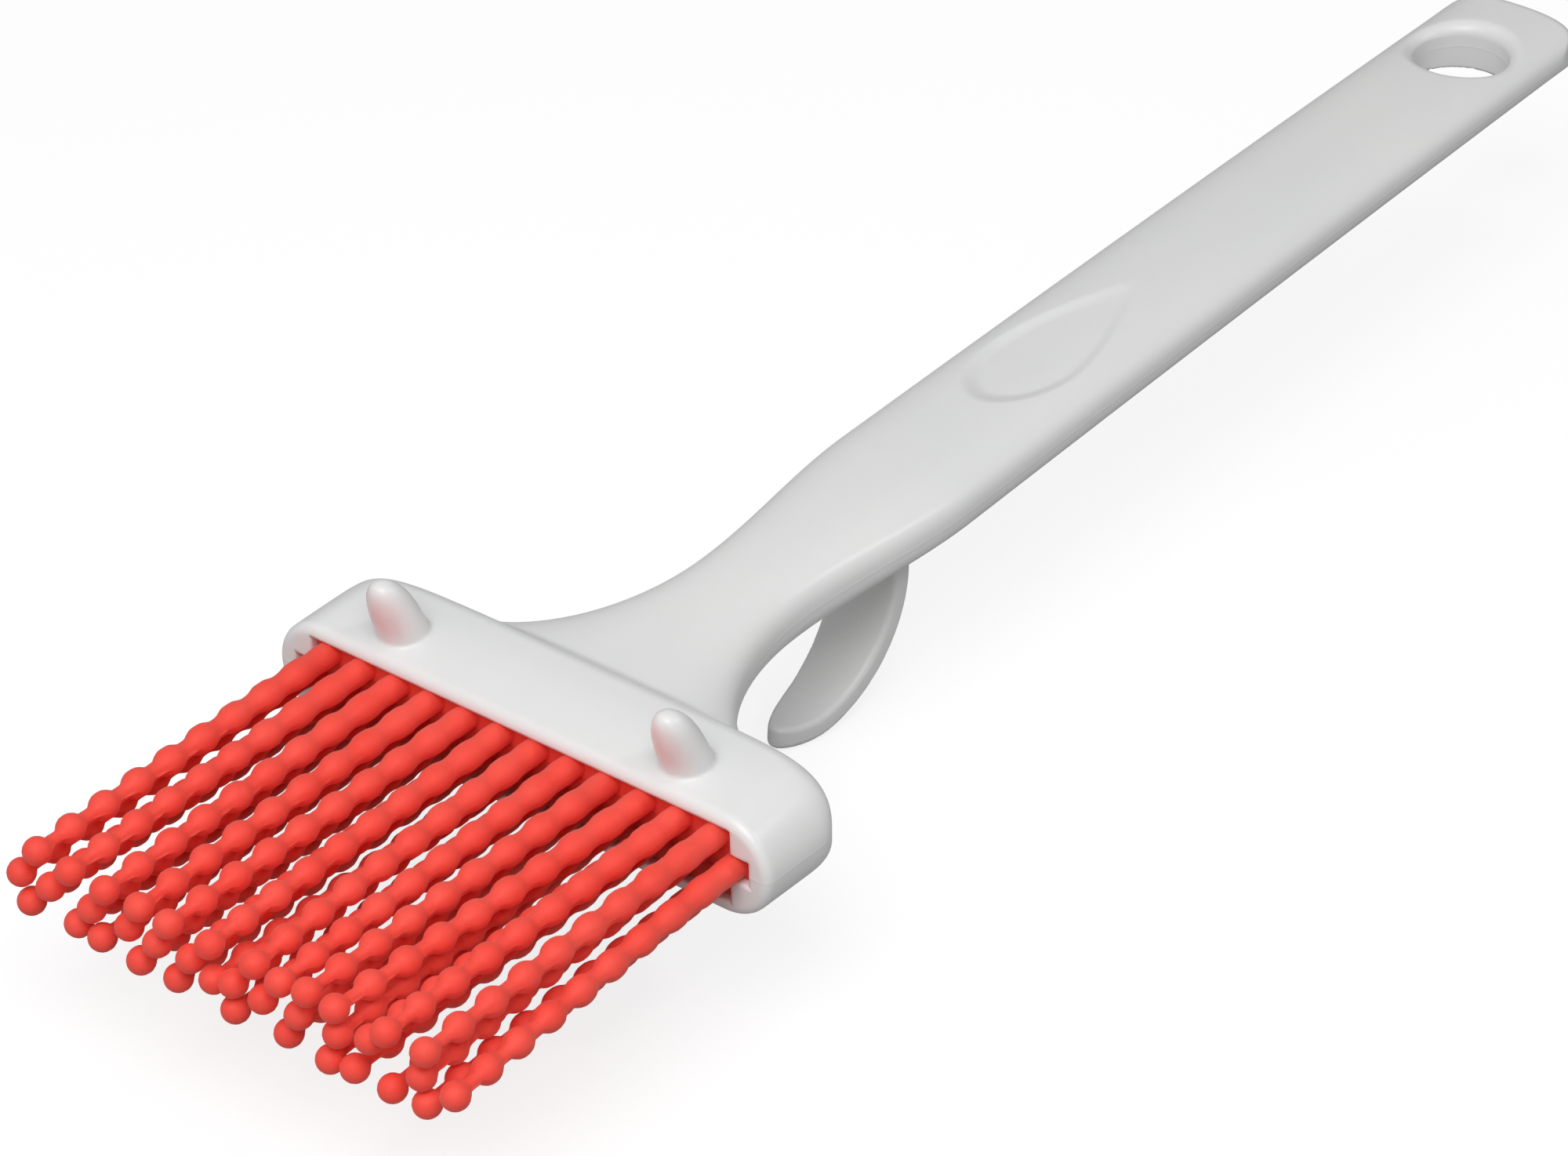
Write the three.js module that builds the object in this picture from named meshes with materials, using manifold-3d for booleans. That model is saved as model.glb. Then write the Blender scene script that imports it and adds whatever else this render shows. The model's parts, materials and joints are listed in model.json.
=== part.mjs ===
// Silicone pastry brush: a one-piece moulded plastic handle and head, with three rows of beaded
// silicone bristles. Millimetres, +Z up. The handle runs along +Y, the bristles point along -Y,
// and the two rest nubs stand on the +Z side. Every piece is drawn from the centre of the head's
// mouth, and the finished brush is then moved so that its origin is on the head's flat underside.
import * as THREE from "three";
import { mergeVertices } from "three/addons/utils/BufferGeometryUtils.js";
import Module from "manifold-3d";

const wasm = await Module();
wasm.setup();

// ---------------------------------------------------------------- driving dimensions
const GAP = 0.3; // clearance between neighbouring pieces

// Head: a flat stadium-section shell, open at y = 0
const HEAD_HALF_WIDTH = 38.1;
const HEAD_HALF_HEIGHT = 6.7;
const HEAD_DEPTH = 16;
const HEAD_CORNER = 7; // rounding of the back corners seen from above
const HEAD_BACK_EDGE = 4; // rounding of the back edge seen from the side
const HEAD_CROWN = 1.4; // how far the top swells between the lip and the back edge
const LIP_EDGE = 1.2; // rounding of the outer edge round the mouth
const ORIGIN_Y = (LIP_EDGE + HEAD_DEPTH - HEAD_BACK_EDGE) / 2; // middle of the flat underside

// Bristles, in three staggered rows
const BRISTLE_PITCH = 5.46;
const ROW_PITCH = 3.3; // at the mouth
const ROWS_CENTRE_Z = 0.2;
const BRISTLE_LENGTH = 49; // mouth to the centre of the tip ball
const BEADS = 9; // tip ball included
const BEAD_PITCH = 5.46;
const BEAD_RADIUS = 1.75;
const FLEX_Y = (BEADS - 0.5) * BEAD_PITCH - BRISTLE_LENGTH; // the first neck, where bristles bend
const ROOT_NECK_RADIUS = 1.55; // at the flex line
const TIP_NECK_RADIUS = 0.8; // between the last two beads
const ROWS = [
  { name: "top", count: 12, level: 1, tipDrop: 1.35 },
  { name: "middle", count: 13, level: 0, tipDrop: 1.8 },
  { name: "bottom", count: 12, level: -1, tipDrop: 2.25 },
];

// Stepped slot, with the bars of the three bristle combs and the adhesive behind them
const SLOT_DEPTH = 11;
const SLOT_END_MARGIN = 2.4; // from the last bristle's axis to the end of its slot
const BAR_DEPTH = 6.65;
const BAR_SINK = 1.2; // the bars' front faces sit this far inside the mouth

// Neck and grip
const WAIST_Y = 43;
const WAIST_HALF_WIDTH = 8.1;
const NECK_FILLET = 20; // how far the neck spreads, each side, where it meets the head
const GRIP_Y = 74; // full grip width from here on
const GRIP_HALF_WIDTH = 10.9;
const END_HALF_WIDTH = 10.4;
const END_ROUND_Y = 205; // the rounded end starts here
const HANDLE_END_Y = 215;
const NECK_THICKNESS = 11.6; // at the head
const WAIST_THICKNESS = 9.4;
const END_THICKNESS = 7;
const HANDLE_RISE = 8.5; // the far end stands this far above the head's middle plane
const HANDLE_BOW = 0.31; // share of the rise that makes it a gentle arc
const SECTION_POWER = 2.8; // 2 is an ellipse, higher is squarer

const HOLE_Y = 198.5;
const HOLE_RADIUS = 6.7;

// Thumb recess on the grip's top
const THUMB_Y = 98;
const THUMB_FRONT = 10;
const THUMB_BACK = 29;
const THUMB_HALF_WIDTH = 5.8;
const THUMB_DEPTH = 1.1;

// Rest nubs on the head's top
const NUB_X = 22;
const NUB_Y = 4.9;
const NUB_RADIUS = 3.65;
const NUB_HEIGHT = 8;
const NUB_LEAN = 3; // the top leans this far towards the mouth

// Pan hook under the waist: a tapering tongue bent round an arc, with its tip towards the head
const HOOK_CENTRE_Y = 49.8;
const HOOK_CENTRE_Z = -4.2;
const HOOK_RADIUS = 17.5; // of the arc, at the tongue's mid-thickness
const HOOK_START = -20; // degrees round the arc, where 0 points along +Y and 90 points down
const HOOK_END = 99;
const HOOK_TIP = 24; // the last degrees, over which the tip is rounded
const HOOK_HALF_WIDTH = 5.1;
const HOOK_TAPER = 0.45; // share of its width that the tongue loses along the arc
const HOOK_HALF_THICKNESS = 1.5;
const HOOK_SECTION_POWER = 3;

// ---------------------------------------------------------------- helpers
const smooth = (t) => t * t * (3 - 2 * t);
const clamp01 = (t) => Math.min(1, Math.max(0, t));
const clampUnit = (t) => Math.min(1, Math.max(-1, t));

// Keeps only merged positions, so that the geometry is one closed surface.
function closed(geometry) {
  geometry.deleteAttribute("normal");
  geometry.deleteAttribute("uv");
  return mergeVertices(geometry, 1e-4);
}

function solid(geometry) {
  const merged = closed(geometry);
  const mesh = new wasm.Mesh({
    numProp: 3,
    vertProperties: merged.getAttribute("position").array,
    triVerts: new Uint32Array(merged.index.array),
  });
  return new wasm.Manifold(mesh);
}

function geometryOf(manifold) {
  const mesh = manifold.getMesh();
  const geometry = new THREE.BufferGeometry();
  geometry.setAttribute("position", new THREE.BufferAttribute(mesh.vertProperties, 3));
  geometry.setIndex(new THREE.BufferAttribute(mesh.triVerts, 1));
  return geometry;
}

// A body swept through stations: a cylinder whose rings are moved, where section(station, c, s)
// gives a ring's point from its direction round the ring, (0, 0) being the ring's centre. The
// ring starts half a side round, with flats on top and below that reach c and s of exactly 1.
function sweptBody(stations, sides, section) {
  const halfSide = Math.PI / sides;
  const reachOut = 1 / Math.cos(halfSide);
  const rings = stations.length - 1;
  const geometry = new THREE.CylinderGeometry(1, 1, 1, sides, rings, false, halfSide);
  const position = geometry.getAttribute("position");
  for (let i = 0; i < position.count; i++) {
    const station = stations[Math.round((position.getY(i) + 0.5) * rings)];
    const atCentre = Math.hypot(position.getX(i), position.getZ(i)) < 0.5;
    const c = atCentre ? 0 : clampUnit(position.getX(i) * reachOut);
    const s = atCentre ? 0 : clampUnit(position.getZ(i) * reachOut);
    const point = section(station, c, s);
    position.setXYZ(i, point.x, point.y, point.z);
  }
  return solid(geometry);
}

// Distance that a rounded corner of the given radius takes off at depth t into the corner
const roundOff = (t, radius) => radius - Math.sqrt(Math.max(0, radius * radius - t * t));

// 1 up to t = 0, falling to nearly 0 at t = 1 along a superellipse
const roundEnd = (t, power) => Math.max(0.02, (1 - clamp01(t) ** power) ** (1 / power));

// Turns a circle's coordinate into a superellipse's: power 2 is an ellipse, higher is squarer
const squareOff = (t, power) => Math.sign(t) * Math.abs(t) ** (2 / power);

function box(width, depth, height, x, y, z) {
  const geometry = new THREE.BoxGeometry(width, depth, height);
  geometry.translate(x, y, z);
  return solid(geometry);
}

// ---------------------------------------------------------------- handle and head
function headSection(y, c, s) {
  const lip = roundOff(Math.max(0, LIP_EDGE - y), LIP_EDGE);
  const cornerT = Math.max(0, y - (HEAD_DEPTH - HEAD_CORNER));
  const edgeT = Math.max(0, y - (HEAD_DEPTH - HEAD_BACK_EDGE));
  const halfWidth = HEAD_HALF_WIDTH - lip - roundOff(cornerT, HEAD_CORNER);
  const halfHeight = HEAD_HALF_HEIGHT - lip - roundOff(edgeT, HEAD_BACK_EDGE);
  const swell = s > 0 ? headCrown(y) * s : 0;
  const x = Math.sign(c) * (halfWidth - halfHeight) + halfHeight * c;
  return { x: x, y: y, z: halfHeight * s + swell };
}

// Height that the crown adds to the head's top: none at the mouth, most two thirds of the way back
function headCrown(y) {
  return HEAD_CROWN * Math.sin(clamp01(y / (HEAD_DEPTH * 0.67)) * (Math.PI / 2));
}

function headBody() {
  const stations = [0, 0.25, 0.6, LIP_EDGE, 3.5, 6, HEAD_DEPTH - HEAD_CORNER];
  const turns = 7;
  for (let i = 1; i <= turns; i++) {
    const angle = (i / turns) * (Math.PI / 2);
    stations.push(HEAD_DEPTH - HEAD_CORNER + HEAD_CORNER * Math.sin(angle));
  }
  return sweptBody(stations, 28, headSection);
}

// Share of the rounded end that lies before y
const endShare = (y) => (y - END_ROUND_Y) / (HANDLE_END_Y - END_ROUND_Y);

// Half-width of the neck and grip: an elliptical fillet at the head, a smooth swell from the
// waist to the grip, a slight taper and a rounded end.
function handleHalfWidth(y) {
  const t = clamp01((y - HEAD_DEPTH) / (WAIST_Y - HEAD_DEPTH));
  const fillet = NECK_FILLET * (1 - Math.sqrt(1 - (1 - t) ** 2));
  const swell = smooth(clamp01((y - WAIST_Y) / (GRIP_Y - WAIST_Y)));
  const taper = clamp01((y - GRIP_Y) / (END_ROUND_Y - GRIP_Y));
  const straight =
    WAIST_HALF_WIDTH +
    (GRIP_HALF_WIDTH - WAIST_HALF_WIDTH) * swell -
    (GRIP_HALF_WIDTH - END_HALF_WIDTH) * taper;
  return (fillet + straight) * roundEnd(endShare(y), 2.3);
}

function handleThickness(y) {
  const nearHead = 1 - clamp01((y - HEAD_DEPTH) / (WAIST_Y - HEAD_DEPTH));
  const along = clamp01((y - WAIST_Y) / (END_ROUND_Y - WAIST_Y));
  const plain = WAIST_THICKNESS + (END_THICKNESS - WAIST_THICKNESS) * along;
  return plain + (NECK_THICKNESS - WAIST_THICKNESS) * nearHead ** 2;
}

function handleCentreZ(y) {
  const u = Math.max(0, (y - HEAD_DEPTH) / (HANDLE_END_Y - HEAD_DEPTH));
  return HANDLE_RISE * ((1 + HANDLE_BOW) * u - HANDLE_BOW * u * u);
}

function handleSection(y, c, s) {
  const halfHeight = (handleThickness(y) / 2) * roundEnd(endShare(y), 5);
  const x = squareOff(c, SECTION_POWER) * handleHalfWidth(y);
  const z = squareOff(s, SECTION_POWER) * halfHeight;
  return { x: x, y: y, z: handleCentreZ(y) + z };
}

function neckAndGrip() {
  const stations = [13.5, 16, 17, 18.5, 20.5, 23, 26, 30, 35, WAIST_Y];
  const swellSteps = 6;
  for (let i = 1; i <= swellSteps; i++) {
    stations.push(WAIST_Y + ((GRIP_Y - WAIST_Y) * i) / swellSteps);
  }
  stations.push(88, 110, 140, 170, 190, END_ROUND_Y);
  const endSteps = 6;
  for (let i = 1; i <= endSteps; i++) {
    const angle = (i / endSteps) * (Math.PI / 2);
    stations.push(END_ROUND_Y + (HANDLE_END_Y - END_ROUND_Y) * Math.sin(angle));
  }
  return sweptBody(stations, 28, handleSection);
}

function nub(side) {
  const sink = 1.5; // how far the nub starts below the head's top
  const steps = 6;
  const profile = [new THREE.Vector2(0, -sink), new THREE.Vector2(NUB_RADIUS, -sink)];
  for (let i = 0; i <= steps; i++) {
    const angle = (i / steps) * (Math.PI / 2);
    const radius = i === steps ? 0 : NUB_RADIUS * Math.cos(angle) ** 0.8;
    profile.push(new THREE.Vector2(radius, NUB_HEIGHT * Math.sin(angle)));
  }
  const geometry = new THREE.LatheGeometry(profile, 14);
  geometry.rotateX(Math.PI / 2);
  const position = geometry.getAttribute("position");
  for (let i = 0; i < position.count; i++) {
    const lean = NUB_LEAN * clamp01(position.getZ(i) / NUB_HEIGHT);
    position.setY(i, position.getY(i) - lean);
  }
  geometry.translate(side * NUB_X, NUB_Y, HEAD_HALF_HEIGHT + headCrown(NUB_Y));
  return solid(geometry);
}

function hookSection(degrees, c, s) {
  const tip = (degrees - HOOK_END + HOOK_TIP) / HOOK_TIP;
  const taper = 1 - HOOK_TAPER * (degrees / HOOK_END) ** 2;
  const halfWidth = HOOK_HALF_WIDTH * taper * roundEnd(tip, 2);
  const halfThickness = HOOK_HALF_THICKNESS * roundEnd(tip, 5);
  const radius = HOOK_RADIUS + squareOff(s, HOOK_SECTION_POWER) * halfThickness;
  const angle = THREE.MathUtils.degToRad(degrees);
  return {
    x: squareOff(c, HOOK_SECTION_POWER) * halfWidth,
    y: HOOK_CENTRE_Y + radius * Math.cos(angle),
    z: HOOK_CENTRE_Z - radius * Math.sin(angle),
  };
}

function hook() {
  const stations = [];
  const arcSteps = 10;
  const tipStart = HOOK_END - HOOK_TIP;
  for (let i = 0; i < arcSteps; i++) {
    stations.push(HOOK_START + ((tipStart - HOOK_START) * i) / arcSteps);
  }
  const tipSteps = 5;
  for (let i = 0; i <= tipSteps; i++) {
    stations.push(tipStart + HOOK_TIP * Math.sin(((i / tipSteps) * Math.PI) / 2));
  }
  return sweptBody(stations, 16, hookSection);
}

// A shallow teardrop dish: two half-ellipsoids with a common widest section
function thumbRecess() {
  const bowlHeight = 8;
  const geometry = new THREE.SphereGeometry(1, 20, 20);
  const lift = bowlHeight - THUMB_DEPTH;
  const spread = 1 / Math.sqrt(1 - (lift / bowlHeight) ** 2);
  const position = geometry.getAttribute("position");
  for (let i = 0; i < position.count; i++) {
    const reach = position.getY(i) < 0 ? THUMB_FRONT : THUMB_BACK;
    position.setXYZ(
      i,
      position.getX(i) * THUMB_HALF_WIDTH * spread,
      position.getY(i) * reach * spread,
      position.getZ(i) * bowlHeight,
    );
  }
  const top = handleCentreZ(THUMB_Y) + handleThickness(THUMB_Y) / 2;
  geometry.rotateX(0.04);
  geometry.translate(0, THUMB_Y, top + lift);
  return solid(geometry);
}

function hangingHole() {
  const length = 30;
  const geometry = new THREE.CylinderGeometry(HOLE_RADIUS, HOLE_RADIUS, length, 28);
  geometry.rotateX(Math.PI / 2);
  geometry.translate(0, HOLE_Y, handleCentreZ(HOLE_Y));
  return solid(geometry);
}

// ---------------------------------------------------------------- bristle rows
const rowZ = (row) => ROWS_CENTRE_Z + row.level * ROW_PITCH;
const slotHalfWidth = (row) => ((row.count - 1) / 2) * BRISTLE_PITCH + SLOT_END_MARGIN;

function steppedSlot() {
  const open = 5; // the cutter runs out past the mouth
  let slot = null;
  for (const row of ROWS) {
    const depth = SLOT_DEPTH + open;
    const y = (SLOT_DEPTH - open) / 2;
    const height = ROW_PITCH + 0.02;
    const cut = box(2 * slotHalfWidth(row), depth, height, 0, y, rowZ(row));
    slot = slot ? slot.add(cut) : cut;
  }
  return slot;
}

function combBar(row) {
  const width = 2 * (slotHalfWidth(row) - GAP);
  const height = ROW_PITCH - GAP;
  return box(width, BAR_DEPTH, height, 0, BAR_SINK + BAR_DEPTH / 2, rowZ(row));
}

// Cured adhesive behind the bars, filling the back of the slot
function adhesiveBed() {
  const start = BAR_SINK + BAR_DEPTH + GAP;
  const depth = SLOT_DEPTH - GAP - start;
  const width = 2 * (slotHalfWidth(ROWS[0]) - GAP);
  const height = ROWS.length * ROW_PITCH - 2 * GAP;
  return box(width, depth, height, 0, start + depth / 2, ROWS_CENTRE_Z);
}

// One bristle as a lathe about its own axis: balls on a rod that thins towards the tip.
// Its first neck is at the origin and it points along +Y.
function bristleGeometry() {
  const sides = 6;
  const rootCap = ROOT_NECK_RADIUS * Math.SQRT1_2;
  const tipCap = BEAD_RADIUS * Math.SQRT1_2;
  const profile = [new THREE.Vector2(0, -ROOT_NECK_RADIUS), new THREE.Vector2(rootCap, -rootCap)];
  for (let bead = 0; bead < BEADS; bead++) {
    const neck = THREE.MathUtils.lerp(ROOT_NECK_RADIUS, TIP_NECK_RADIUS, bead / (BEADS - 1));
    profile.push(new THREE.Vector2(neck, bead * BEAD_PITCH));
    profile.push(new THREE.Vector2(BEAD_RADIUS, (bead + 0.5) * BEAD_PITCH));
  }
  const tip = (BEADS - 0.5) * BEAD_PITCH;
  profile.push(new THREE.Vector2(tipCap, tip + tipCap));
  profile.push(new THREE.Vector2(0, tip + BEAD_RADIUS));
  return closed(new THREE.LatheGeometry(profile, sides));
}

// ---------------------------------------------------------------- materials
function plasticMaterial() {
  return new THREE.MeshStandardMaterial({ color: 0xe9eaea, roughness: 0.38, metalness: 0 });
}

function siliconeMaterial() {
  return new THREE.MeshStandardMaterial({ color: 0xe8392f, roughness: 0.62, metalness: 0 });
}

function adhesiveMaterial() {
  return new THREE.MeshStandardMaterial({ color: 0xd9d2be, roughness: 0.3, metalness: 0 });
}

// ---------------------------------------------------------------- assembly
function namedMesh(name, geometry, material) {
  const mesh = new THREE.Mesh(geometry, material);
  mesh.name = name;
  return mesh;
}

function handleMesh() {
  const body = headBody()
    .add(neckAndGrip())
    .add(hook())
    .add(nub(-1))
    .add(nub(1))
    .subtract(steppedSlot())
    .subtract(thumbRecess())
    .subtract(hangingHole());
  return namedMesh("handle", geometryOf(body), plasticMaterial());
}

// One row of bristles, hung from its flex line and dropping slightly towards the tips
function bristleRow(row) {
  const group = new THREE.Group();
  const length = BRISTLE_LENGTH + FLEX_Y;
  for (let i = 0; i < row.count; i++) {
    const number = String(i + 1).padStart(2, "0");
    const name = "bristle_" + row.name + "_" + number;
    const bristle = namedMesh(name, bristleGeometry(), siliconeMaterial());
    bristle.position.x = (i - (row.count - 1) / 2) * BRISTLE_PITCH;
    group.add(bristle);
  }
  group.position.set(0, FLEX_Y, rowZ(row));
  group.rotation.x = Math.PI + Math.asin(row.tipDrop / length);
  return group;
}

const brush = new THREE.Group();
brush.position.set(0, -ORIGIN_Y, HEAD_HALF_HEIGHT);
brush.add(handleMesh());
brush.add(namedMesh("adhesive_bed", geometryOf(adhesiveBed()), adhesiveMaterial()));
for (const row of ROWS) {
  const bar = geometryOf(combBar(row));
  brush.add(namedMesh("comb_bar_" + row.name, bar, siliconeMaterial()));
  brush.add(bristleRow(row));
}

export default brush;
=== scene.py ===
"""Looks of the silicone pastry brush: its smooth moulded handle, its three silicone combs, their
materials, a white studio and the camera. Shapes are worked out in millimetres from the centre of
the head's mouth, and stored in metres in the frame's own coordinates."""

import json
import math

import bmesh
import bpy
import numpy as np
from mathutils import Matrix, Vector


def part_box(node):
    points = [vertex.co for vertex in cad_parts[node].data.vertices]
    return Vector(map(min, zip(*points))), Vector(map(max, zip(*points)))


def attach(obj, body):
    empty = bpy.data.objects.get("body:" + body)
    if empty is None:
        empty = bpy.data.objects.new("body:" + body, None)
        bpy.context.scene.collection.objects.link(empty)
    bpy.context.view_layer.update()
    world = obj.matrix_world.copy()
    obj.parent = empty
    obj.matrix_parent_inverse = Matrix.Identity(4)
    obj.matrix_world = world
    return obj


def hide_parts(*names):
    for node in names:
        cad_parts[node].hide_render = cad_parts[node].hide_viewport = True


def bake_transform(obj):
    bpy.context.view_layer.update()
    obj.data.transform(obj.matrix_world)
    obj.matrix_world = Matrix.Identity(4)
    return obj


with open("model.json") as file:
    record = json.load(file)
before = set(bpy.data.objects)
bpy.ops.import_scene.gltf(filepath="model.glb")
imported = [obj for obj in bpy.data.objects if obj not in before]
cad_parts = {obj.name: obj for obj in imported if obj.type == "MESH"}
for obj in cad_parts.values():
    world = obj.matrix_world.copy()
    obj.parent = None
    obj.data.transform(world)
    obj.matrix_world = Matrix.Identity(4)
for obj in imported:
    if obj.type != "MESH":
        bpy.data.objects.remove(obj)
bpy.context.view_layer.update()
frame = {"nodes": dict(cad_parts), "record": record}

MM = 0.001

# ---------------------------------------------------------------- sizes from the frame
HEAD_HALF_HEIGHT = 6.7
underside = frame["record"]["mounts"][0]["pos_m"]
MOUTH = np.array([0.0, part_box("handle")[0].y / MM, underside[2] / MM + HEAD_HALF_HEIGHT])
CELL = 0.45  # size of the handle's mesh cells


def local_box(node):
    """A CAD node's lowest and highest corners, in millimetres from the centre of the mouth."""
    low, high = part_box(node)
    return np.array(low) / MM - MOUTH, np.array(high) / MM - MOUTH


def in_frame(x, y, z):
    """A place given from the centre of the mouth in millimetres, as metres in the frame."""
    return Vector((np.array([x, y, z]) + MOUTH) * MM)


HANDLE_LOW, HANDLE_HIGH = local_box("handle")
HEAD_HALF_WIDTH = HANDLE_HIGH[0]
HANDLE_END_Y = HANDLE_HIGH[1]

# Head
HEAD_DEPTH = 16
HEAD_CORNER = (15.5, 7.0)  # the back corners' reach along X and Y, seen from above
HEAD_CORNER_POWER = 3
HEAD_BACK_EDGE = 4.0
HEAD_CROWN = 1.4
HEAD_CROWN_Y = 10.7  # the crown is highest here
LIP_EDGE = 1.2
SLOT_EDGE = 0.3
SLOT_DEPTH = 11
SLOT_SLACK = 0.3  # CAD clearance between a comb bar and its slot

# Neck and grip
WAIST_Y = 43
WAIST_HALF_WIDTH = 8.1
NECK_FILLET = 20
GRIP_Y = 74
GRIP_HALF_WIDTH = 10.9
END_HALF_WIDTH = 10.4
NECK_THICKNESS = 11.6
WAIST_THICKNESS = 9.4
END_THICKNESS = 7
END_ROUND_Y = 205
END_CROWN = 0.8  # bulge of the end face
END_CORNER = 6.5  # corner radius seen from above
END_TOP_EDGE = 2.4
END_BOTTOM_EDGE = 1.1
HANDLE_RISE = 8.5
HANDLE_BOW = 0.31
SECTION_POWER = 2.8
HEAD_FILLET = 1.2  # where the neck meets the head
GRIP_OVERLAP = 2.5  # how far the neck starts inside the head

HOLE_Y = 198.5
HOLE_RADIUS = 6.7
HOLE_TOP_EDGE = 1.9
HOLE_BOTTOM_EDGE = 0.3

# Thumb recess
THUMB_Y = 101
THUMB_FRONT = 13
THUMB_BACK = 22
THUMB_HALF_WIDTH = 7.1
THUMB_NARROWING = 0.6  # of the half-width towards the back
THUMB_DEPTH = 0.75
THUMB_WALL = 0.5  # share of the recess taken by its sloping wall
THUMB_FADE = 0.6  # how much shallower it is at the back

# Rest nubs
NUB_X = 22
NUB_Y = 5.3
NUB_RADIUS = 3.2
NUB_HEIGHT = 8.6
NUB_LEAN = 3.3
NUB_POWER = 2.5
NUB_FILLET = 0.5

# Pan hook: a tapering tongue bent round an arc, in degrees from +Y downwards
HOOK_CENTRE = (49.8, -4.2)  # along Y and Z
HOOK_RADIUS = 17.5
HOOK_START = -20
HOOK_END = 99
HOOK_TIP = 24  # the last degrees, over which the tip is rounded
HOOK_HALF_WIDTH = 5.1
HOOK_TAPER = 0.45
HOOK_HALF_THICKNESS = 1.5
HOOK_EDGE = 0.8
HOOK_FILLET = 2

# Bristles
ROWS = ("top", "middle", "bottom")
BEAD_PITCH = 5.46
BEAD_RADIUS = 1.75
MOUTH_RADIUS = 1.58  # of a bristle where it leaves the head
ROOT_NECK = 1.64
NECK_LOSS = 0.93  # how much thinner than ROOT_NECK a neck at the tip is
NECK_SOFTNESS = 0.32
ROOT_BEAD_REACH = 2.7  # half-length of a bead at the root; at the tip a bead is a ball
BAR_SLACK = 0.08  # what is left of the clearance round a comb's bar
LEAN_POWER = 1.4  # how late along a bristle its sideways lean comes
DROOP_POWER = 1.25  # how late its droop comes
RING_STEP = 0.42
SEED = 11

TIP_SCATTER = (0.3, 0.25, 0.2)  # seeded scatter of every tip along X, Y and Z

# How far the tips of single bristles, counted from the left, lean sideways and upwards
TIP_LEANS = {
    "top": {7: (1.2, 0), 9: (-1.3, 0), 10: (-2.6, 0), 11: (-0.6, 0)},
    "middle": {2: (-1.0, 0), 6: (-0.5, 0), 7: (0.5, 0), 11: (0, 1.6), 12: (1.4, 0), 13: (1.8, 0)},
    "bottom": {
        1: (-1.4, 0),
        3: (-1.2, 0),
        6: (0.3, 2.4),
        7: (-1.6, 0),
        8: (0.8, 0),
        9: (1.5, 0),
        10: (-0.5, 0),
    },
}


# ---------------------------------------------------------------- fields: under 0 inside a solid
def round_max(a, b, radius):
    """Both fields at once, with the outer edge between them rounded."""
    u = np.maximum(a + radius, 0)
    v = np.maximum(b + radius, 0)
    return np.minimum(np.maximum(a, b), -radius) + np.sqrt(u * u + v * v)


def round_min(a, b, radius):
    """Either field, with a fillet in the corner between them."""
    u = np.maximum(radius - a, 0)
    v = np.maximum(radius - b, 0)
    return np.maximum(np.minimum(a, b), radius) - np.sqrt(u * u + v * v)


def smooth(t):
    t = np.clip(t, 0, 1)
    return t * t * (3 - 2 * t)


def head_field(x, y, z):
    reach_x, reach_y = HEAD_CORNER
    power = HEAD_CORNER_POWER
    side = np.abs(x)
    u = np.maximum(side - (HEAD_HALF_WIDTH - reach_x), 0) / reach_x
    v = np.maximum(y - (HEAD_DEPTH - reach_y), 0) / reach_y
    g = np.maximum((u**power + v**power) ** (1 / power), 1e-3)
    slope_u = (u / g) ** (power - 1) / reach_x
    slope_v = (v / g) ** (power - 1) / reach_y
    slope = np.maximum(np.hypot(slope_u, slope_v), 1e-4)
    plan = np.maximum((g - 1) / slope, -reach_y)
    end_share = (slope_u / slope) ** 2
    edge = HEAD_BACK_EDGE + (HEAD_HALF_HEIGHT - HEAD_BACK_EDGE) * end_share
    lift = head_crown(x, y)
    level = np.where(z > 0, z * HEAD_HALF_HEIGHT / (HEAD_HALF_HEIGHT + lift), z)
    shell = round_max(plan, np.abs(level) - HEAD_HALF_HEIGHT, edge)
    return round_max(shell, -y, LIP_EDGE)


def head_crown(x, y):
    along = np.sin(np.clip(y / HEAD_CROWN_Y, 0, 1) * math.pi / 2)
    across = 1 - np.clip(np.abs(x) / HEAD_HALF_WIDTH, 0, 1) ** 4
    return HEAD_CROWN * along * across


def handle_half_width(y):
    t = np.clip((y - HEAD_DEPTH) / (WAIST_Y - HEAD_DEPTH), 0, 1)
    fillet = NECK_FILLET * (1 - np.sqrt(1 - (1 - t) ** 2))
    swell = smooth((y - WAIST_Y) / (GRIP_Y - WAIST_Y))
    taper = np.clip((y - GRIP_Y) / (END_ROUND_Y - GRIP_Y), 0, 1)
    grow = (GRIP_HALF_WIDTH - WAIST_HALF_WIDTH) * swell
    return fillet + WAIST_HALF_WIDTH + grow - (GRIP_HALF_WIDTH - END_HALF_WIDTH) * taper


def handle_thickness(y):
    near_head = 1 - np.clip((y - HEAD_DEPTH) / (WAIST_Y - HEAD_DEPTH), 0, 1)
    along = np.clip((y - WAIST_Y) / (END_ROUND_Y - WAIST_Y), 0, 1)
    plain = WAIST_THICKNESS + (END_THICKNESS - WAIST_THICKNESS) * along
    return plain + (NECK_THICKNESS - WAIST_THICKNESS) * near_head**2


def handle_centre_z(y):
    u = np.maximum(0, (y - HEAD_DEPTH) / (HANDLE_END_Y - HEAD_DEPTH))
    return HANDLE_RISE * ((1 + HANDLE_BOW) * u - HANDLE_BOW * u * u)


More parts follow.
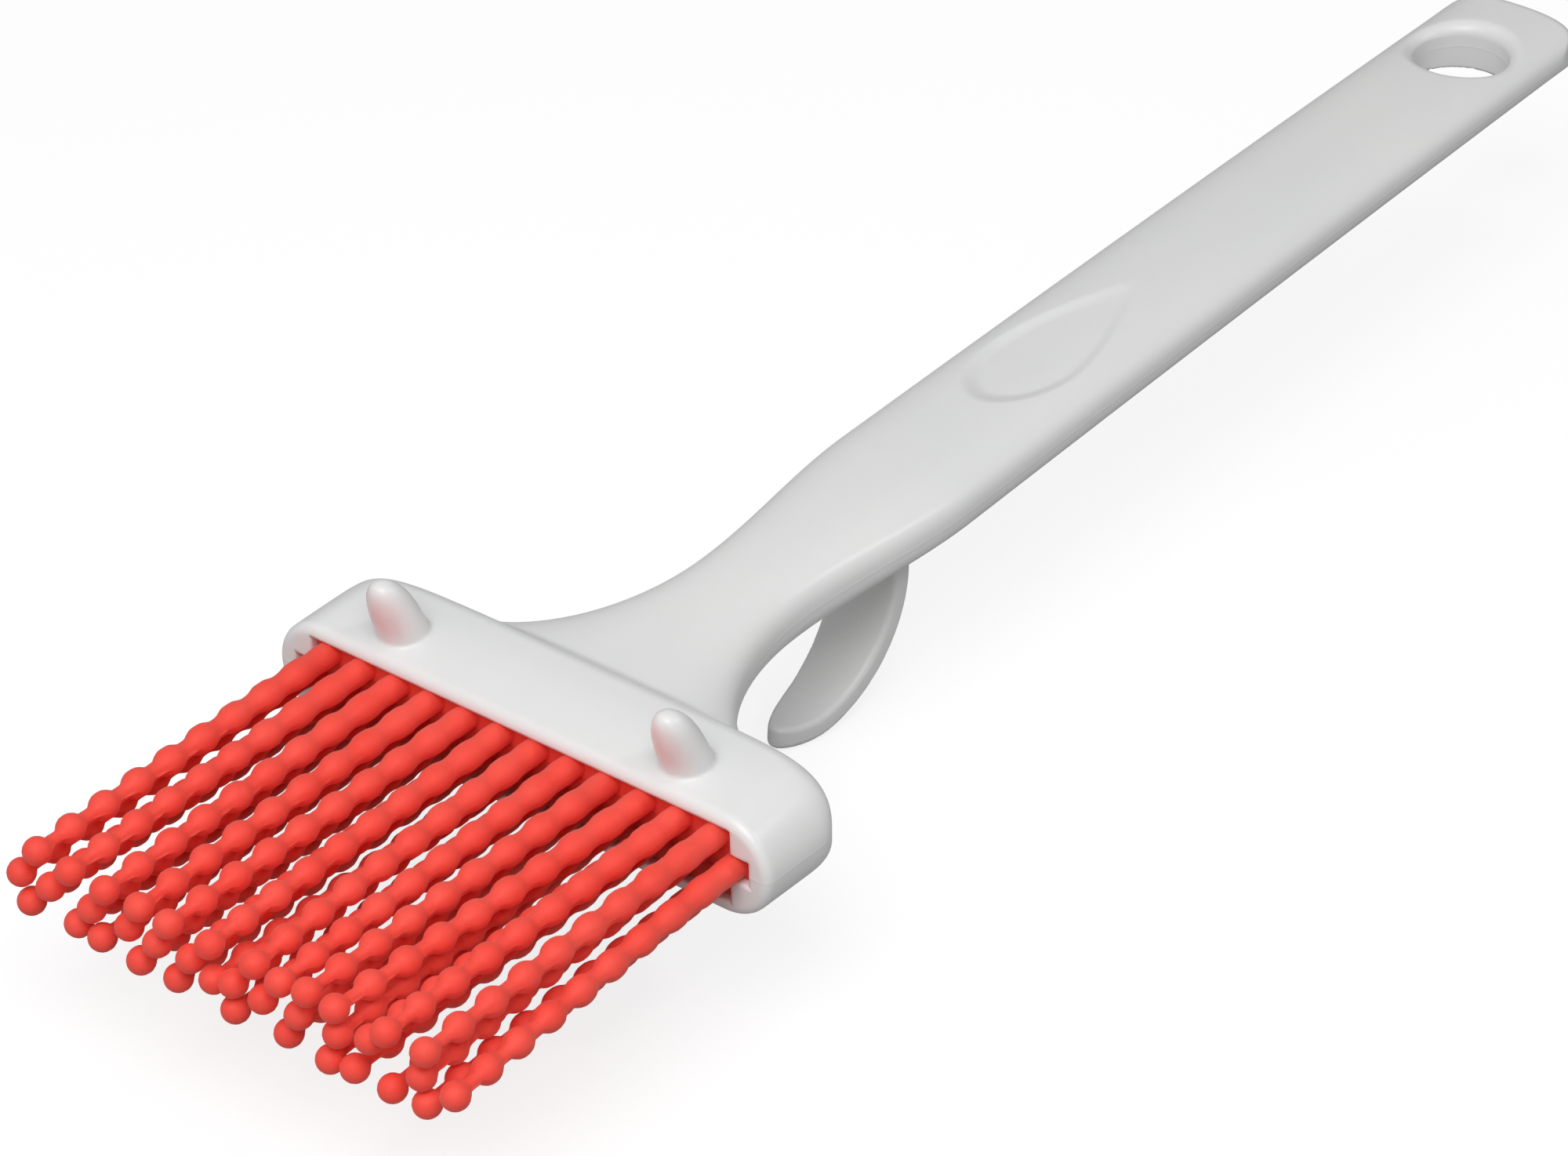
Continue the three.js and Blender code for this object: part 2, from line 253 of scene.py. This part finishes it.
def thumb_depth(x, y):
    """Depth of the egg-shaped recess, which is narrower and fades out behind."""
    ahead = (y - THUMB_Y) / np.where(y < THUMB_Y, THUMB_FRONT, THUMB_BACK)
    back = np.clip(ahead, 0, 1)
    half_width = THUMB_HALF_WIDTH * (1 - THUMB_NARROWING * back**1.5)
    spread = (x / half_width) ** 2 + ahead**2
    return THUMB_DEPTH * smooth((1 - spread) / THUMB_WALL) * (1 - THUMB_FADE * back)


def grip_field(x, y, z):
    half_width = handle_half_width(y)
    half_height = handle_thickness(y) / 2
    level = z - handle_centre_z(y)
    level = np.where(level > 0, level + thumb_depth(x, y), level)
    power = SECTION_POWER
    u = np.abs(x) / half_width
    v = np.abs(level) / half_height
    q = np.maximum((u**power + v**power) ** (1 / power), 0.02)
    slope_u = (u / q) ** (power - 1) / half_width
    slope_v = (v / q) ** (power - 1) / half_height
    slope = np.maximum(np.hypot(slope_u, slope_v), 0.5 / GRIP_HALF_WIDTH)
    tube = (q - 1) / slope
    side_share = (slope_u / slope) ** 2
    upright = np.where(level > 0, END_TOP_EDGE, END_BOTTOM_EDGE)
    edge = upright + (END_CORNER - upright) * side_share
    end = y - HANDLE_END_Y + END_CROWN * (x / END_HALF_WIDTH) ** 2
    start = HEAD_DEPTH - GRIP_OVERLAP - y
    return np.maximum(round_max(tube, end, edge), start)


def hook_field(x, y, z):
    y_out = y - HOOK_CENTRE[0]
    z_out = z - HOOK_CENTRE[1]
    degrees = np.degrees(np.arctan2(-z_out, y_out))
    degree_length = math.radians(HOOK_RADIUS)
    taper = 1 - HOOK_TAPER * np.clip(degrees / HOOK_END, 0, 1) ** 2
    half_width = HOOK_HALF_WIDTH * taper
    tip_length = HOOK_TIP * degree_length
    u = np.abs(x) / half_width
    v = np.maximum(degrees - HOOK_END + HOOK_TIP, 0) / HOOK_TIP
    q = np.maximum(np.hypot(u, v), 0.02)
    slope = np.hypot(u / q / half_width, v / q / tip_length)
    plan = (q - 1) / np.maximum(slope, 0.5 / tip_length)
    across = np.abs(np.hypot(y_out, z_out) - HOOK_RADIUS) - HOOK_HALF_THICKNESS
    start = (HOOK_START - degrees) * degree_length
    return np.maximum(round_max(plan, across, HOOK_EDGE), start)


def nub_field(x, y, z):
    base = HEAD_HALF_HEIGHT + head_crown(NUB_X, NUB_Y)
    height = z - base
    lean = NUB_LEAN * np.clip(height / NUB_HEIGHT, 0, 1)
    out = np.hypot(np.abs(x) - NUB_X, y - NUB_Y + lean) / NUB_RADIUS
    up = np.maximum(height, 0) / NUB_HEIGHT
    q = (out**NUB_POWER + up**NUB_POWER) ** (1 / NUB_POWER)
    return np.maximum((q - 1) * NUB_RADIUS, -1 - height)


def slot_field(x, y, z):
    """The stepped slot: one wide box for the middle row, and a taller box for all three."""
    boxes = []
    for name in ("middle", "top"):
        low, high = local_box("comb_bar_" + name)
        bottom = low[2] if name == "middle" else local_box("comb_bar_bottom")[0][2]
        half_height = (high[2] - bottom) / 2 + SLOT_SLACK / 2
        middle_z = (high[2] + bottom) / 2
        wide = np.abs(x) - (high[0] + SLOT_SLACK)
        tall = np.abs(z - middle_z) - half_height
        boxes.append(np.maximum(wide, tall))
    return np.maximum(np.minimum(*boxes), y - SLOT_DEPTH)


def handle_field(x, y, z):
    body = round_min(head_field(x, y, z), grip_field(x, y, z), HEAD_FILLET)
    body = round_min(body, nub_field(x, y, z), NUB_FILLET)
    body = round_min(body, hook_field(x, y, z), HOOK_FILLET)
    body = round_max(body, -slot_field(x, y, z), SLOT_EDGE)
    hole = HOLE_RADIUS - np.hypot(x, y - HOLE_Y)
    edge = np.where(z > handle_centre_z(y), HOLE_TOP_EDGE, HOLE_BOTTOM_EDGE)
    return round_max(body, hole, edge)


# ---------------------------------------------------------------- a mesh from a field
def surface_net(field, low, high, cell):
    """A closed quad mesh of the surface where the field is 0, as points and quads."""
    axes = [np.arange(low[i] - 1.5 * cell, high[i] + 2.5 * cell, cell) for i in range(3)]
    x, y, z = np.meshgrid(*axes, indexing="ij", sparse=True)
    value = np.asarray(field(x, y, z), np.float32)
    inside = value < 0
    offsets = [(i, j, k) for i in (0, 1) for j in (0, 1) for k in (0, 1)]
    nx, ny, nz = (n - 1 for n in value.shape)
    full = np.zeros((nx, ny, nz), np.uint8)
    for i, j, k in offsets:
        full += inside[i : i + nx, j : j + ny, k : k + nz]
    crossed = (full > 0) & (full < 8)
    index = np.full(crossed.shape, -1, np.int64)
    index[crossed] = np.arange(crossed.sum())
    cells = np.argwhere(crossed)
    points = crossing_means(value, cells, offsets)
    points = points * cell + np.array([axis[0] for axis in axes])
    quads = [axis_quads(inside, index, axis) for axis in range(3)]
    return points, np.vstack(quads)


def crossing_means(value, cells, offsets):
    """For each cell, the mean of the places where its edges cross the surface."""
    corner = [value[tuple((cells + o).T)] for o in offsets]
    total = np.zeros((len(cells), 3))
    count = np.zeros(len(cells))
    for a, start in enumerate(offsets):
        for b, end in enumerate(offsets):
            step = np.subtract(end, start)
            if step.sum() != 1 or np.abs(step).sum() != 1:
                continue
            cross = (corner[a] < 0) != (corner[b] < 0)
            gap = np.where(cross, corner[a] - corner[b], 1)
            t = np.where(cross, corner[a] / gap, 0)
            total += cross[:, None] * (np.array(start) + t[:, None] * step)
            count += cross
    return cells + total / count[:, None]


def axis_quads(inside, index, axis):
    """One quad round each grid edge along this axis that the surface crosses."""
    before = np.take(inside, range(inside.shape[axis] - 1), axis)
    after = np.take(inside, range(1, inside.shape[axis]), axis)
    edges = np.argwhere(before != after)
    leaving = before[tuple(edges.T)]
    u = np.eye(3, dtype=int)[(axis + 1) % 3]
    v = np.eye(3, dtype=int)[(axis + 2) % 3]
    ring = [index[tuple((edges + o).T)] for o in (-u - v, -v, 0 * u, -u)]
    quads = np.stack(ring, 1)
    return np.where(leaving[:, None], quads, quads[:, ::-1])


def gradient(field, points):
    step = 0.02
    slopes = []
    for axis in np.eye(3) * step:
        ahead = field(*(points + axis).T)
        behind = field(*(points - axis).T)
        slopes.append((ahead - behind) / (2 * step))
    return np.stack(slopes, 1)


def settle(field, points, cell):
    """Moves points onto the surface along the field's slope."""
    for _ in range(3):
        slope = gradient(field, points)
        steep = np.maximum((slope**2).sum(1), 0.05)
        move = -(field(*points.T) / steep)[:, None] * slope
        length = np.maximum(np.linalg.norm(move, axis=1), 1e-9)
        points = points + move * np.minimum(1, 0.5 * cell / length)[:, None]
    return points


def relax(points, quads):
    """Moves each point half way to the mean of its neighbours."""
    total = np.zeros_like(points)
    count = np.zeros(len(points))
    for a, b in ((0, 1), (1, 2), (2, 3), (3, 0)):
        for c, d in ((a, b), (b, a)):
            np.add.at(total, quads[:, c], points[quads[:, d]])
            np.add.at(count, quads[:, c], 1)
    return 0.5 * points + 0.5 * total / count[:, None]


# ---------------------------------------------------------------- objects
def mesh_object(name, points, faces, material):
    """A smooth-shaded object from points given from the mouth in millimetres."""
    mesh = bpy.data.meshes.new(name)
    mesh.from_pydata((np.asarray(points) + MOUTH) * MM, [], [tuple(f) for f in faces])
    mesh.polygons.foreach_set("use_smooth", [True] * len(mesh.polygons))
    mesh.materials.append(material)
    thing = bpy.data.objects.new(name, mesh)
    bpy.context.scene.collection.objects.link(thing)
    return thing


def handle_object(material):
    points, quads = surface_net(handle_field, HANDLE_LOW, HANDLE_HIGH, CELL)
    for _ in range(3):
        points = settle(handle_field, relax(points, quads), CELL)
    thing = mesh_object("brush_handle", points, quads, material)
    normals = gradient(handle_field, points)
    normals /= np.linalg.norm(normals, axis=1)[:, None]
    thing.data.normals_split_custom_set_from_vertices(normals)
    return thing


# ---------------------------------------------------------------- bristle combs
# Directions round a bristle in degrees: close together at the two mould split lines
HALF_TURN = (0, 5, 22, 40, 57, 73, 90, 107, 123, 140, 158, 175)
TURN = np.radians(HALF_TURN + tuple(a + 180 for a in HALF_TURN))
SIDES = len(TURN)


def bristle_radius(s, tip):
    """Radius at s along the bristle, where tip is the tip ball's centre: a thick wavy rod at the
    root, and balls on a thin rod at the tip."""
    if s >= tip:
        return math.sqrt(max(BEAD_RADIUS**2 - (s - tip) ** 2, 0))
    along = s / tip
    neck = ROOT_NECK - NECK_LOSS * along**0.8
    crest = MOUTH_RADIUS + (BEAD_RADIUS - MOUTH_RADIUS) * min(s / BEAD_PITCH, 1)
    off_centre = (tip - s + BEAD_PITCH / 2) % BEAD_PITCH - BEAD_PITCH / 2
    reach = ROOT_BEAD_REACH + (BEAD_RADIUS - ROOT_BEAD_REACH) * along
    ball = crest * math.sqrt(max(1 - (off_centre / reach) ** 2, 0))
    both = (ball + neck + math.hypot(ball - neck, NECK_SOFTNESS)) / 2
    return min(both, crest)


def bristle_rings(start, tip_centre, rng):
    """Rings of points from the comb's face to the tip, and the pole at the tip's end."""
    start = np.array(start, float)
    tip_centre = np.array(tip_centre, float)
    tip = start[1] - tip_centre[1]
    end = tip + BEAD_RADIUS
    rod = list(np.arange(0, tip, RING_STEP))
    cap = [tip + BEAD_RADIUS * math.sin(a) for a in np.linspace(0, math.pi / 2, 7)[:-1]]
    flash_phase = rng.uniform(0, 2 * math.pi, 2)
    flash_size = rng.uniform(0.05, 0.3)

    def centre(s):
        t = max(s, 0) / tip
        bend = np.array([t**LEAN_POWER, t, t**DROOP_POWER])
        return start + (tip_centre - start) * bend

    rings = []
    for s in rod + cap:
        here, ahead = centre(s), centre(s + 0.01)
        along = (ahead - here) / np.linalg.norm(ahead - here)
        across = np.cross(along, [0, 0, 1])
        across /= np.linalg.norm(across)
        if across[0] < 0:
            across = -across
        up = np.cross(across, along)
        if up[2] < 0:
            up = -up
        radius = bristle_radius(s, tip)
        flash = max(BEAD_RADIUS - 0.25 - radius, 0) if s < tip else 0
        reach = np.full(SIDES, radius)
        for side, k in ((0, 0), (1, SIDES // 2)):
            reach[k] += flash_size * flash * (1 + math.sin(1.3 * s + flash_phase[side]))
        ring = here + reach[:, None] * (
            np.cos(TURN)[:, None] * across + np.sin(TURN)[:, None] * up
        )
        rings.append(ring)
    return rings, centre(end)


def face_border(left, right, bottom, top, y):
    """Points round a rectangle, one for each direction round the bristle, its corners included."""
    step = SIDES // 4
    corners = [(right, top), (left, top), (left, bottom), (right, bottom)]
    border = []
    for i in range(4):
        (x0, z0), (x1, z1) = corners[i], corners[(i + 1) % 4]
        for k in range(step):
            border.append((x0 + (x1 - x0) * k / step, y, z0 + (z1 - z0) * k / step))
    return np.roll(np.array(border, float), step // 2, axis=0)


def comb_object(name, rng, material):
    bar_low, bar_high = local_box("comb_bar_" + name)
    grow = SLOT_SLACK - BAR_SLACK
    left, right = bar_low[0] - grow, bar_high[0] + grow
    bottom, top = bar_low[2] - grow / 2, bar_high[2] + grow / 2
    face_y, back_y = bar_low[1], bar_high[1]
    nodes = sorted(n for n in frame["nodes"] if n.startswith("bristle_" + name))
    boxes = [local_box(n) for n in nodes]
    centres = [(low[0] + high[0]) / 2 for low, high in boxes]
    root_z = (bottom + top) / 2
    tip_y = boxes[0][0][1] + BEAD_RADIUS
    tip_z = boxes[0][0][2] + BEAD_RADIUS

    bm = bmesh.new()
    for i, x in enumerate(centres):
        aside, up = TIP_LEANS[name].get(i + 1, (0, 0))
        scatter = rng.normal(0, TIP_SCATTER)
        tip_centre = (x + aside + scatter[0], tip_y + scatter[1], tip_z + up + scatter[2])
        rings, pole = bristle_rings((x, face_y, root_z), tip_centre, rng)
        x0 = left if i == 0 else (centres[i - 1] + x) / 2
        x1 = right if i == len(centres) - 1 else (x + centres[i + 1]) / 2
        loops = [face_border(x0, x1, bottom, top, face_y)] + rings
        loops = [[bm.verts.new(p) for p in loop] for loop in loops]
        for outer, inner in zip(loops, loops[1:]):
            for k in range(SIDES):
                n = (k + 1) % SIDES
                bm.faces.new((outer[k], outer[n], inner[n], inner[k]))
        last = bm.verts.new(pole)
        for k in range(SIDES):
            bm.faces.new((loops[-1][k], loops[-1][(k + 1) % SIDES], last))
    bmesh.ops.remove_doubles(bm, verts=bm.verts[:], dist=1e-4)
    border = [e for e in bm.edges if len(e.link_faces) == 1]
    made = bmesh.ops.extrude_edge_only(bm, edges=border)["geom"]
    for v in (g for g in made if isinstance(g, bmesh.types.BMVert)):
        v.co.y = back_y
    rear = [e for e in made if isinstance(e, bmesh.types.BMEdge) and len(e.link_faces) == 1]
    bmesh.ops.contextual_create(bm, geom=rear)
    bmesh.ops.recalc_face_normals(bm, faces=bm.faces[:])
    bm.verts.index_update()
    points = [v.co[:] for v in bm.verts]
    faces = [[v.index for v in f.verts] for f in bm.faces]
    bm.free()
    comb = mesh_object("silicone_comb_" + name, points, faces, material)
    soften_flat_faces(comb)
    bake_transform(comb)
    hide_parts("comb_bar_" + name, *nodes)
    return comb


def soften_flat_faces(thing):
    """Sharp edges where flat faces meet, and smooth shading everywhere else."""
    bm = bmesh.new()
    bm.from_mesh(thing.data)
    for edge in bm.edges:
        if len(edge.link_faces) == 2 and edge.calc_face_angle() > math.radians(60):
            edge.smooth = False
    bm.to_mesh(thing.data)
    bm.free()


# ---------------------------------------------------------------- materials
class Graph:
    """Short calls for building one material's nodes."""

    def __init__(self, name):
        self.material = bpy.data.materials.new(name)
        self.material.use_nodes = True
        self.tree = self.material.node_tree
        self.shader = self.tree.nodes["Principled BSDF"]
        self.place = self.node("ShaderNodeTexCoord").outputs["Object"]

    def node(self, kind, **inputs):
        made = self.tree.nodes.new(kind)
        for key, value in inputs.items():
            self.feed(made.inputs[key.replace("_", " ")], value)
        return made

    def feed(self, socket, value):
        if isinstance(value, bpy.types.NodeSocket):
            self.tree.links.new(value, socket)
        else:
            socket.default_value = value

    def math(self, operation, a, b=0.0, c=0.0):
        made = self.node("ShaderNodeMath")
        made.operation = operation
        for socket, value in zip(made.inputs, (a, b, c)):
            self.feed(socket, value)
        return made.outputs[0]

    def noise(self, size_mm, detail=2.0, roughness=0.5):
        made = self.node("ShaderNodeTexNoise", Vector=self.place, Scale=1 / (size_mm * MM))
        made.inputs["Detail"].default_value = detail
        made.inputs["Roughness"].default_value = roughness
        return made.outputs["Fac"]

    def ramp(self, value, stops):
        made = self.node("ShaderNodeValToRGB", Fac=value)
        elements = made.color_ramp.elements
        while len(elements) < len(stops):
            elements.new(0.5)
        for element, (position, colour) in zip(elements, stops):
            element.position = position
            element.color = (*colour, 1)
        return made.outputs["Color"]

    def span(self, value, low, high):
        made = self.node("ShaderNodeMapRange", Value=value)
        made.inputs["To Min"].default_value = low
        made.inputs["To Max"].default_value = high
        return made.outputs[0]

    def bump(self, height, depth_mm, strength=1.0, normal=None):
        made = self.node("ShaderNodeBump", Height=height, Strength=strength)
        made.inputs["Distance"].default_value = depth_mm * MM
        if normal is not None:
            self.feed(made.inputs["Normal"], normal)
        return made.outputs["Normal"]


def plastic():
    """Satin-gloss white moulding with a faint mould parting line along both sides."""
    g = Graph("white_plastic")
    cloud = g.noise(35, 3)
    grain = g.noise(0.5, 2)
    stops = [(0.3, (0.80, 0.805, 0.805)), (0.7, (0.83, 0.83, 0.825))]
    g.feed(g.shader.inputs["Base Color"], g.ramp(cloud, stops))
    g.feed(g.shader.inputs["Roughness"], g.span(g.noise(9, 4), 0.27, 0.37))
    g.feed(g.shader.inputs["Subsurface Weight"], 0.25)
    g.feed(g.shader.inputs["Subsurface Radius"], (1.0, 0.95, 0.9))
    g.feed(g.shader.inputs["Subsurface Scale"], 1.6 * MM)
    g.feed(g.shader.inputs["IOR"], 1.49)
    peel = g.bump(grain, 0.006)
    waves = g.bump(g.noise(6, 1), 0.03, normal=peel)
    line = g.bump(parting_line(g), 0.025, normal=waves)
    g.feed(g.shader.inputs["Normal"], line)
    return g.material


def parting_line(g):
    """1 on the handle's middle surface, where the two mould halves meet, and 0 away from it."""
    parts = g.node("ShaderNodeSeparateXYZ", Vector=g.place)
    y = g.math("SUBTRACT", parts.outputs["Y"], (MOUTH[1] + HEAD_DEPTH) * MM)
    z = g.math("SUBTRACT", parts.outputs["Z"], MOUTH[2] * MM)
    u = g.math("MAXIMUM", g.math("DIVIDE", y, (HANDLE_END_Y - HEAD_DEPTH) * MM), 0.0)
    bow = g.math("MULTIPLY_ADD", u, -HANDLE_BOW * HANDLE_RISE * MM, (1 + HANDLE_BOW) * HANDLE_RISE * MM)
    off = g.math("SUBTRACT", z, g.math("MULTIPLY", u, bow))
    share = g.math("DIVIDE", off, 0.16 * MM)
    return g.math("POWER", math.e, g.math("MULTIPLY", g.math("MULTIPLY", share, share), -1.0))


def silicone():
    """Matte red silicone with a powdery bloom and a fine moulded grain."""
    g = Graph("red_silicone")
    cloud = g.noise(7, 4)
    stops = [(0.3, (0.92, 0.07, 0.048)), (0.7, (0.97, 0.095, 0.068))]
    g.feed(g.shader.inputs["Base Color"], g.ramp(cloud, stops))
    g.feed(g.shader.inputs["Roughness"], g.span(g.noise(1.5, 3), 0.5, 0.64))
    g.feed(g.shader.inputs["Subsurface Weight"], 0.35)
    g.feed(g.shader.inputs["Subsurface Radius"], (1.0, 0.25, 0.15))
    g.feed(g.shader.inputs["Subsurface Scale"], 1.8 * MM)
    g.feed(g.shader.inputs["Specular IOR Level"], 0.3)
    g.feed(g.shader.inputs["Sheen Weight"], 0.25)
    g.feed(g.shader.inputs["Sheen Roughness"], 0.4)
    g.feed(g.shader.inputs["Sheen Tint"], (1.0, 0.55, 0.5, 1))
    fine = g.bump(g.noise(0.12, 2), 0.012)
    g.feed(g.shader.inputs["Normal"], g.bump(g.noise(1.1, 2), 0.02, normal=fine))
    return g.material


def adhesive():
    """Cured amber adhesive with small bubbles."""
    g = Graph("cured_adhesive")
    bubbles = g.node("ShaderNodeTexVoronoi", Vector=g.place, Scale=900.0).outputs["Distance"]
    stops = [(0.2, (0.62, 0.55, 0.40)), (0.8, (0.76, 0.70, 0.56))]
    g.feed(g.shader.inputs["Base Color"], g.ramp(g.noise(4), stops))
    g.feed(g.shader.inputs["Roughness"], g.span(bubbles, 0.2, 0.45))
    g.feed(g.shader.inputs["Subsurface Weight"], 0.3)
    g.feed(g.shader.inputs["Subsurface Scale"], 2 * MM)
    g.feed(g.shader.inputs["Normal"], g.bump(bubbles, 0.15))
    return g.material


# ---------------------------------------------------------------- studio
CAMERA_AIM = (4.4, 44.6, 5.4)  # millimetres from the centre of the mouth
CAMERA_DISTANCE = 711.8
CAMERA_AZIMUTH = 39.54
CAMERA_ELEVATION = 33.2
CAMERA_ROLL = -0.9
CAMERA_LENS = 134.87
FLOOR_GAP = 0.2  # millimetres from the hook's lowest point to the floor
FLOOR_HALF = 4.0
FLOOR_BOUNCE = 0.42
FLOOR_SEEN = 0.24
FLOOR_GLOW = 0.81
SKY_BRIGHT_SIDE = (-12, 25)  # azimuth and elevation
SKY_BRIGHT = 0.58
SKY_DARK = 0.05


def sphere_direction(azimuth, elevation):
    """From the object towards a place at this azimuth, where 0 is -Y and 90 is +X."""
    a, e = math.radians(azimuth), math.radians(elevation)
    return Vector((math.sin(a) * math.cos(e), -math.cos(a) * math.cos(e), math.sin(e)))


def add_camera():
    camera = bpy.data.objects.new("camera", bpy.data.cameras.new("camera"))
    bpy.context.scene.collection.objects.link(camera)
    back = sphere_direction(CAMERA_AZIMUTH, CAMERA_ELEVATION)
    turn = (-back).to_track_quat("-Z", "Y").to_matrix().to_4x4()
    roll = Matrix.Rotation(math.radians(CAMERA_ROLL), 4, "Z")
    place = in_frame(*CAMERA_AIM) + back * CAMERA_DISTANCE * MM
    camera.matrix_world = Matrix.Translation(place) @ turn @ roll
    camera.data.lens = CAMERA_LENS
    camera.data.sensor_width = 36
    camera.data.clip_start = 0.01
    camera.data.clip_end = 20
    bpy.context.scene.camera = camera


def add_softbox(name, azimuth, elevation, distance, size, power):
    light = bpy.data.lights.new(name, "AREA")
    light.shape = "DISK"
    light.size = size
    light.energy = power
    lamp = bpy.data.objects.new(name, light)
    bpy.context.scene.collection.objects.link(lamp)
    towards = sphere_direction(azimuth, elevation)
    aim = in_frame(0, 0, 0)
    lamp.location = aim + towards * distance
    lamp.rotation_mode = "QUATERNION"
    lamp.rotation_quaternion = (-towards).to_track_quat("-Z", "Y")


def add_floor():
    """A pale floor. It looks bright to the camera, and throws less light back up at the brush."""
    half = FLOOR_HALF
    z = in_frame(0, 0, HANDLE_LOW[2] - FLOOR_GAP).z
    mesh = bpy.data.meshes.new("floor")
    corners = [(-half, -half, z), (half, -half, z), (half, half, z), (-half, half, z)]
    mesh.from_pydata(corners, [], [(0, 1, 2, 3)])
    floor = bpy.data.objects.new("floor", mesh)
    bpy.context.scene.collection.objects.link(floor)
    material = bpy.data.materials.new("pale_floor")
    material.use_nodes = True
    tree = material.node_tree
    tree.nodes.clear()
    output = tree.nodes.new("ShaderNodeOutputMaterial")
    path = tree.nodes.new("ShaderNodeLightPath")
    mix = tree.nodes.new("ShaderNodeMixShader")
    bounce = tree.nodes.new("ShaderNodeBsdfDiffuse")
    bounce.inputs["Color"].default_value = (*[FLOOR_BOUNCE] * 3, 1)
    seen = tree.nodes.new("ShaderNodeBsdfDiffuse")
    seen.inputs["Color"].default_value = (*[FLOOR_SEEN] * 3, 1)
    glow = tree.nodes.new("ShaderNodeEmission")
    glow.inputs["Strength"].default_value = FLOOR_GLOW
    add = tree.nodes.new("ShaderNodeAddShader")
    link = tree.links.new
    link(seen.outputs[0], add.inputs[0])
    link(glow.outputs[0], add.inputs[1])
    link(path.outputs["Is Camera Ray"], mix.inputs[0])
    link(bounce.outputs[0], mix.inputs[1])
    link(add.outputs[0], mix.inputs[2])
    link(mix.outputs[0], output.inputs[0])
    mesh.materials.append(material)


def add_world():
    world = bpy.data.worlds.new("studio")
    world.use_nodes = True
    background = world.node_tree.nodes["Background"]
    background.inputs["Color"].default_value = (1, 1, 1, 1)
    link = world.node_tree.links.new
    direction = world.node_tree.nodes.new("ShaderNodeTexCoord").outputs["Generated"]
    towards = world.node_tree.nodes.new("ShaderNodeVectorMath")
    towards.operation = "DOT_PRODUCT"
    towards.inputs[1].default_value = sphere_direction(*SKY_BRIGHT_SIDE)
    link(direction, towards.inputs[0])
    strength = world.node_tree.nodes.new("ShaderNodeMapRange")
    strength.inputs["From Min"].default_value = -1
    strength.inputs["To Min"].default_value = SKY_DARK
    strength.inputs["To Max"].default_value = SKY_BRIGHT
    link(towards.outputs["Value"], strength.inputs["Value"])
    link(strength.outputs[0], background.inputs["Strength"])
    bpy.context.scene.world = world


# ---------------------------------------------------------------- the brush in its studio
body = handle_object(plastic())
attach(body, "handle")
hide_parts("handle")

rubber = silicone()
draw = np.random.default_rng(SEED)
for row in ROWS:
    comb_object(row, draw, rubber)

bed = frame["nodes"]["adhesive_bed"]
bed.data.materials.clear()
bed.data.materials.append(adhesive())

add_world()
add_softbox("key", azimuth=30, elevation=58, distance=0.65, size=0.5, power=2.6)
add_softbox("right", azimuth=127, elevation=44, distance=1.4, size=0.2, power=2.2)
add_floor()
add_camera()
bpy.context.scene.view_settings.view_transform = "Standard"
